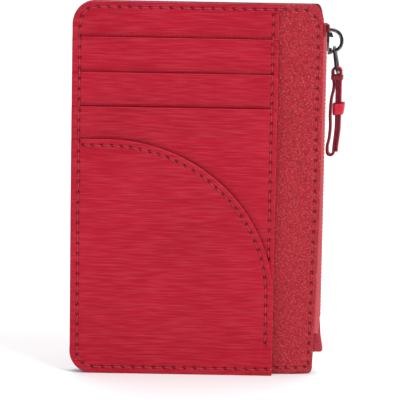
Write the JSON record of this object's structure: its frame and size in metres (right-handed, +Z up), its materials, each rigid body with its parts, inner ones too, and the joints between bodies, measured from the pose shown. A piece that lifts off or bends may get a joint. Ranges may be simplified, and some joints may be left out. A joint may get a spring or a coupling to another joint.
{
  "type": "card holder",
  "caption": "Slim upright leather card holder with stacked card slots, a curved front pocket and a zipped side pocket for coins or notes.",
  "frame": {"origin": "middle of the base panel's bottom edge, on which the holder stands", "axes": "+X across the holder towards the zipped edge, +Y from front to back, +Z up"},
  "size_m": [0.0818, 0.0121, 0.1126],
  "materials": {
    "smooth_leather": "semi-matt cowhide with a fine embossed horizontal grain",
    "grained_leather": "matt pebbled leather",
    "strap_leather": "smooth leather strip with painted edges",
    "lining_fabric": "plain woven lining",
    "board": "uncoated stiffener",
    "zip_tape": "woven polyester tape",
    "zip_teeth": "dyed nylon teeth and stops",
    "zip_metal": "polished dark gunmetal plating"
  },
  "bodies": {
    "holder": {"base_panel": "smooth_leather", "side_band": "grained_leather", "front_board": "board", "slot_panel_top": "smooth_leather", "slot_panel_middle": "smooth_leather", "slot_panel_bottom": "smooth_leather", "slot_lining_top": "lining_fabric", "slot_lining_middle": "lining_fabric", "curved_pocket": "smooth_leather", "front_lining": "lining_fabric", "back_lining": "lining_fabric", "back_panel": "smooth_leather", "zip_tape_front": "zip_tape", "zip_tape_back": "zip_tape", "zip_teeth_front": "zip_teeth", "zip_teeth_back": "zip_teeth", "zip_top_stop_front": "zip_teeth", "zip_top_stop_back": "zip_teeth", "zip_bottom_stop": "zip_teeth", "zip_head_tab_front": "zip_tape", "zip_head_tab_back": "zip_tape", "zip_tail_tab": "strap_leather"},
    "zip_slider": {"slider_body": "zip_metal", "slider_bridge": "zip_metal", "slider_lock_pin": "zip_metal"},
    "pull_link": {"pull_link": "zip_metal"},
    "pull_strap": {"pull_strap": "strap_leather"},
    "strap_keeper": {"strap_keeper": "strap_leather"}
  },
  "joints": [
    {"name": "zip_slide", "type": "slide", "parent": "holder", "child": "zip_slider", "axis": [0, 0, -1], "range_m": [0, 0.078], "deforming": ["zip_teeth_front", "zip_teeth_back"]},
    {"name": "link_swing", "type": "hinge", "parent": "zip_slider", "child": "pull_link", "pos_m": [0.0402, 0.0048, 0.1013], "axis": [0, -1, 0], "range_deg": [0, 110]},
    {"name": "strap_swing", "type": "hinge", "parent": "pull_link", "child": "pull_strap", "pos_m": [0.0421, 0.0048, 0.092], "axis": [0, -1, 0], "range_deg": [0, 75]},
    {"name": "keeper_slide", "type": "slide", "parent": "pull_strap", "child": "strap_keeper", "axis": [0, 0, 1], "range_m": [-0.003, 0.001]}
  ]
}
